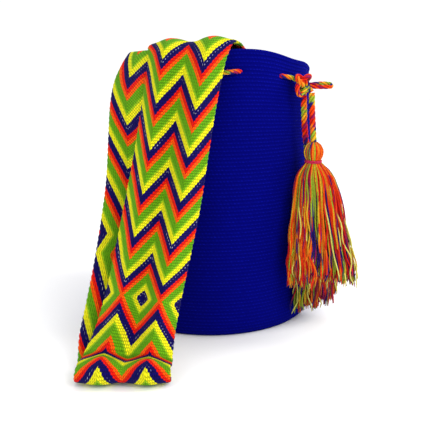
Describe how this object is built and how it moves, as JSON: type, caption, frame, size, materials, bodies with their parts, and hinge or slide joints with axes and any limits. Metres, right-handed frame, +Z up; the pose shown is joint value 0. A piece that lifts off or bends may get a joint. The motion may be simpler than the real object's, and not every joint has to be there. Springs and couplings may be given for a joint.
{
  "type": "wayuu mochila bag",
  "caption": "Crocheted bucket bag standing open, with a wide zigzag-patterned shoulder strap folded down its front and a twisted drawstring that ends in hanging yarn tassels.",
  "frame": {"origin": "middle of the flat base, on the surface that the bag stands on", "axes": "+Z up through the open mouth; -Y to the front, where the strap hangs down; +X to the side where the drawstring is knotted"},
  "size_m": [0.272, 0.348, 0.3045],
  "materials": {
    "bag_yarn": "deep royal blue acrylic yarn in tight single crochet, matt",
    "strap_yarn": "zigzag bands of navy, red, orange, green and yellow yarn, matt",
    "sewing_thread": "navy sewing thread, matt",
    "cord_yarn": "twisted cord of mixed red, orange, yellow, lime and purple yarn",
    "tassel_yarn": "loose yarn in orange, red, yellow, lime, magenta and purple",
    "binding_thread": "magenta binding thread, matt"
  },
  "bodies": {
    "bag": {"bag_body": "bag_yarn", "shoulder_strap": "strap_yarn", "near_strap_stitching": "sewing_thread", "far_strap_stitching": "sewing_thread", "drawstring": "cord_yarn"},
    "front_tassel": {"front_tassel_cord": "cord_yarn", "front_tassel_yarn": "tassel_yarn", "front_tassel_binding": "binding_thread"},
    "rear_tassel": {"rear_tassel_cord": "cord_yarn", "rear_tassel_yarn": "tassel_yarn", "rear_tassel_binding": "binding_thread"}
  },
  "joints": [
    {"name": "front_tassel_swing", "type": "hinge", "parent": "bag", "child": "front_tassel", "pos_m": [0.102, -0.0802, 0.2492], "axis": [-0.6157, -0.788, 0], "range_deg": [0, 70]},
    {"name": "rear_tassel_swing", "type": "hinge", "parent": "bag", "child": "rear_tassel", "pos_m": [0.0948, -0.0744, 0.2458], "axis": [0.788, -0.6157, 0], "range_deg": [0, 60]}
  ]
}
